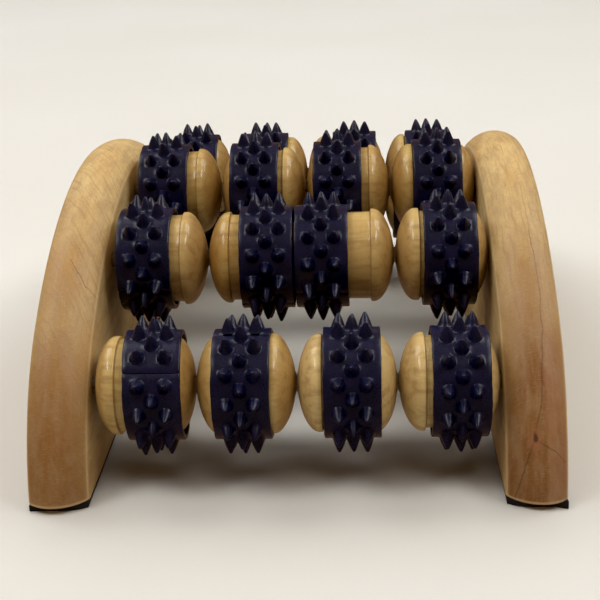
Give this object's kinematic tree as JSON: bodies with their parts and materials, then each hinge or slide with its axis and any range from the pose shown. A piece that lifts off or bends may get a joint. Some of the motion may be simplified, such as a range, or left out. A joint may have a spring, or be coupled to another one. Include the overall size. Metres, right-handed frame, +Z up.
{
  "type": "foot massage roller",
  "caption": "Foot massager: rows of free-spinning wooden beads with spiked rubber bands on steel rods, set along an arch between two half-moon wooden side panels.",
  "frame": {"origin": "middle of the footprint, on the surface that the roller stands on", "axes": "+X along the rods from the left panel to the right one, +Y from the front end to the back end of the panels, +Z up"},
  "size_m": [0.156, 0.2404, 0.084],
  "materials": {
    "panel_wood": "satin lacquer",
    "bead_wood": "satin lacquer, turned",
    "band_rubber": "semi-matt moulded",
    "foot_rubber": "matt",
    "steel": "drawn bar"
  },
  "bodies": {
    "frame": {"left_panel": "panel_wood", "right_panel": "panel_wood", "left_foot_strip": "foot_rubber", "right_foot_strip": "foot_rubber", "rod_1": "steel", "rod_2": "steel", "rod_3": "steel", "rod_4": "steel", "rod_5": "steel"},
    "roller_1_1": {"bead_1_1": "bead_wood", "band_1_1": "band_rubber"},
    "roller_1_2": {"bead_1_2": "bead_wood", "band_1_2": "band_rubber"},
    "roller_1_3": {"bead_1_3": "bead_wood", "band_1_3": "band_rubber"},
    "roller_1_4": {"bead_1_4": "bead_wood", "band_1_4": "band_rubber"},
    "roller_2_1": {"bead_2_1": "bead_wood", "band_2_1": "band_rubber"},
    "roller_2_2": {"bead_2_2": "bead_wood", "band_2_2": "band_rubber"},
    "roller_2_3": {"bead_2_3": "bead_wood", "band_2_3": "band_rubber"},
    "roller_2_4": {"bead_2_4": "bead_wood", "band_2_4": "band_rubber"},
    "roller_3_1": {"bead_3_1": "bead_wood", "band_3_1": "band_rubber"},
    "roller_3_2": {"bead_3_2": "bead_wood", "band_3_2": "band_rubber"},
    "roller_3_3": {"bead_3_3": "bead_wood", "band_3_3": "band_rubber"},
    "roller_3_4": {"bead_3_4": "bead_wood", "band_3_4": "band_rubber"},
    "roller_4_1": {"bead_4_1": "bead_wood", "band_4_1": "band_rubber"},
    "roller_4_2": {"bead_4_2": "bead_wood", "band_4_2": "band_rubber"},
    "roller_4_3": {"bead_4_3": "bead_wood", "band_4_3": "band_rubber"},
    "roller_4_4": {"bead_4_4": "bead_wood", "band_4_4": "band_rubber"},
    "roller_5_1": {"bead_5_1": "bead_wood", "band_5_1": "band_rubber"},
    "roller_5_2": {"bead_5_2": "bead_wood", "band_5_2": "band_rubber"},
    "roller_5_3": {"bead_5_3": "bead_wood", "band_5_3": "band_rubber"},
    "roller_5_4": {"bead_5_4": "bead_wood", "band_5_4": "band_rubber"}
  },
  "joints": [
    {"name": "roller_1_1_spin", "type": "hinge", "parent": "frame", "child": "roller_1_1", "pos_m": [0, -0.09543, 0.03014], "axis": [1, 0, 0], "continuous": true},
    {"name": "roller_1_2_spin", "type": "hinge", "parent": "frame", "child": "roller_1_2", "pos_m": [0, -0.09543, 0.03014], "axis": [1, 0, 0], "continuous": true},
    {"name": "roller_1_3_spin", "type": "hinge", "parent": "frame", "child": "roller_1_3", "pos_m": [0, -0.09543, 0.03014], "axis": [1, 0, 0], "continuous": true},
    {"name": "roller_1_4_spin", "type": "hinge", "parent": "frame", "child": "roller_1_4", "pos_m": [0, -0.09543, 0.03014], "axis": [1, 0, 0], "continuous": true},
    {"name": "roller_2_1_spin", "type": "hinge", "parent": "frame", "child": "roller_2_1", "pos_m": [0, -0.05046, 0.05455], "axis": [1, 0, 0], "continuous": true},
    {"name": "roller_2_2_spin", "type": "hinge", "parent": "frame", "child": "roller_2_2", "pos_m": [0, -0.05046, 0.05455], "axis": [1, 0, 0], "continuous": true},
    {"name": "roller_2_3_spin", "type": "hinge", "parent": "frame", "child": "roller_2_3", "pos_m": [0, -0.05046, 0.05455], "axis": [1, 0, 0], "continuous": true},
    {"name": "roller_2_4_spin", "type": "hinge", "parent": "frame", "child": "roller_2_4", "pos_m": [0, -0.05046, 0.05455], "axis": [1, 0, 0], "continuous": true},
    {"name": "roller_3_1_spin", "type": "hinge", "parent": "frame", "child": "roller_3_1", "pos_m": [0, 0, 0.063], "axis": [1, 0, 0], "continuous": true},
    {"name": "roller_3_2_spin", "type": "hinge", "parent": "frame", "child": "roller_3_2", "pos_m": [0, 0, 0.063], "axis": [1, 0, 0], "continuous": true},
    {"name": "roller_3_3_spin", "type": "hinge", "parent": "frame", "child": "roller_3_3", "pos_m": [0, 0, 0.063], "axis": [1, 0, 0], "continuous": true},
    {"name": "roller_3_4_spin", "type": "hinge", "parent": "frame", "child": "roller_3_4", "pos_m": [0, 0, 0.063], "axis": [1, 0, 0], "continuous": true},
    {"name": "roller_4_1_spin", "type": "hinge", "parent": "frame", "child": "roller_4_1", "pos_m": [0, 0.05046, 0.05455], "axis": [1, 0, 0], "continuous": true},
    {"name": "roller_4_2_spin", "type": "hinge", "parent": "frame", "child": "roller_4_2", "pos_m": [0, 0.05046, 0.05455], "axis": [1, 0, 0], "continuous": true},
    {"name": "roller_4_3_spin", "type": "hinge", "parent": "frame", "child": "roller_4_3", "pos_m": [0, 0.05046, 0.05455], "axis": [1, 0, 0], "continuous": true},
    {"name": "roller_4_4_spin", "type": "hinge", "parent": "frame", "child": "roller_4_4", "pos_m": [0, 0.05046, 0.05455], "axis": [1, 0, 0], "continuous": true},
    {"name": "roller_5_1_spin", "type": "hinge", "parent": "frame", "child": "roller_5_1", "pos_m": [0, 0.09543, 0.03014], "axis": [1, 0, 0], "continuous": true},
    {"name": "roller_5_2_spin", "type": "hinge", "parent": "frame", "child": "roller_5_2", "pos_m": [0, 0.09543, 0.03014], "axis": [1, 0, 0], "continuous": true},
    {"name": "roller_5_3_spin", "type": "hinge", "parent": "frame", "child": "roller_5_3", "pos_m": [0, 0.09543, 0.03014], "axis": [1, 0, 0], "continuous": true},
    {"name": "roller_5_4_spin", "type": "hinge", "parent": "frame", "child": "roller_5_4", "pos_m": [0, 0.09543, 0.03014], "axis": [1, 0, 0], "continuous": true}
  ]
}
